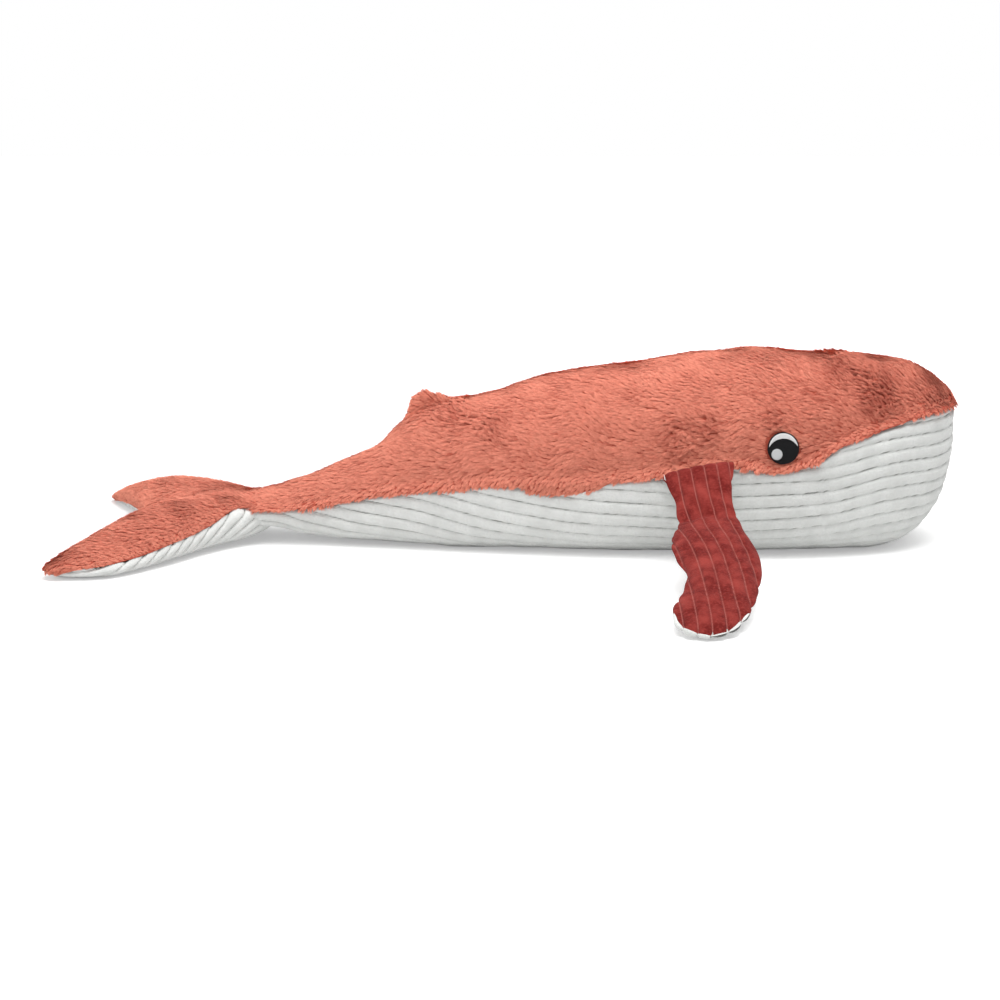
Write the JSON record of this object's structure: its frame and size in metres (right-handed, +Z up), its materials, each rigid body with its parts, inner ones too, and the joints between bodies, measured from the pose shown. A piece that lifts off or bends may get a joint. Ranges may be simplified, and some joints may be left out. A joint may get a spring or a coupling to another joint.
{
  "type": "plush whale",
  "caption": "Soft whale lying on its belly, with a fur back, ribbed corduroy belly, padded side fins, small dorsal fin, bending tail and flapping flukes.",
  "frame": {"origin": "halfway between the nose and the tips of the flukes, in the middle of the width, on the surface that the belly rests on", "axes": "+X towards the nose, +Y to the whale's left, +Z up"},
  "size_m": [0.5788, 0.5094, 0.127],
  "materials": {
    "back_fur": "short clumpy plush pile, salmon pink",
    "white_corduroy": "wide-wale corduroy, off-white",
    "fin_corduroy": "wide-wale corduroy, terracotta red",
    "polyester_filling": "loose white polyester fibre",
    "black_thread": "glossy black embroidery",
    "white_thread": "white embroidery",
    "pale_thread": "pale grey embroidery"
  },
  "bodies": {
    "trunk": {"trunk_back_right": "back_fur", "trunk_back_left": "back_fur", "trunk_belly": "white_corduroy", "trunk_filling": "polyester_filling", "right_eye_black": "black_thread", "right_eye_white": "white_thread", "right_eye_glint": "pale_thread", "left_eye_black": "black_thread", "left_eye_white": "white_thread", "left_eye_glint": "pale_thread"},
    "tail": {"tail_back_right": "back_fur", "tail_back_left": "back_fur", "tail_belly": "white_corduroy", "tail_filling": "polyester_filling"},
    "fluke": {"fluke_top_right": "back_fur", "fluke_under_right": "white_corduroy", "fluke_filling_right": "polyester_filling", "fluke_top_left": "back_fur", "fluke_under_left": "white_corduroy", "fluke_filling_left": "polyester_filling"},
    "right_fin": {"right_fin_top": "fin_corduroy", "right_fin_under": "white_corduroy", "right_fin_batting": "polyester_filling"},
    "left_fin": {"left_fin_top": "fin_corduroy", "left_fin_under": "white_corduroy", "left_fin_batting": "polyester_filling"},
    "dorsal_fin": {"dorsal_fin_right": "back_fur", "dorsal_fin_left": "back_fur", "dorsal_fin_filling": "polyester_filling"}
  },
  "joints": [
    {"name": "tail_bend", "type": "hinge", "parent": "trunk", "child": "tail", "pos_m": [-0.10574, 0, 0.02899], "axis": [0, 1, 0], "range_deg": [-15, 15], "stiffness_Nm_per_rad": 1.5},
    {"name": "fluke_bend", "type": "hinge", "parent": "tail", "child": "fluke", "pos_m": [-0.18, 0, 0.0215], "axis": [0, 1, 0], "range_deg": [-25, 25], "stiffness_Nm_per_rad": 0.4},
    {"name": "right_fin_flap", "type": "hinge", "parent": "trunk", "child": "right_fin", "pos_m": [0.11453, -0.07538, 0.06187], "axis": [-0.9816, 0, -0.1908], "range_deg": [-45, 80]},
    {"name": "left_fin_flap", "type": "hinge", "parent": "trunk", "child": "left_fin", "pos_m": [0.11453, 0.07538, 0.06187], "axis": [0.9816, 0, 0.1908], "range_deg": [-45, 80]},
    {"name": "dorsal_fin_lean", "type": "hinge", "parent": "trunk", "child": "dorsal_fin", "pos_m": [-0.05542, 0, 0.09331], "axis": [0.9295, 0, 0.3687], "range_deg": [-20, 20], "stiffness_Nm_per_rad": 0.02}
  ]
}
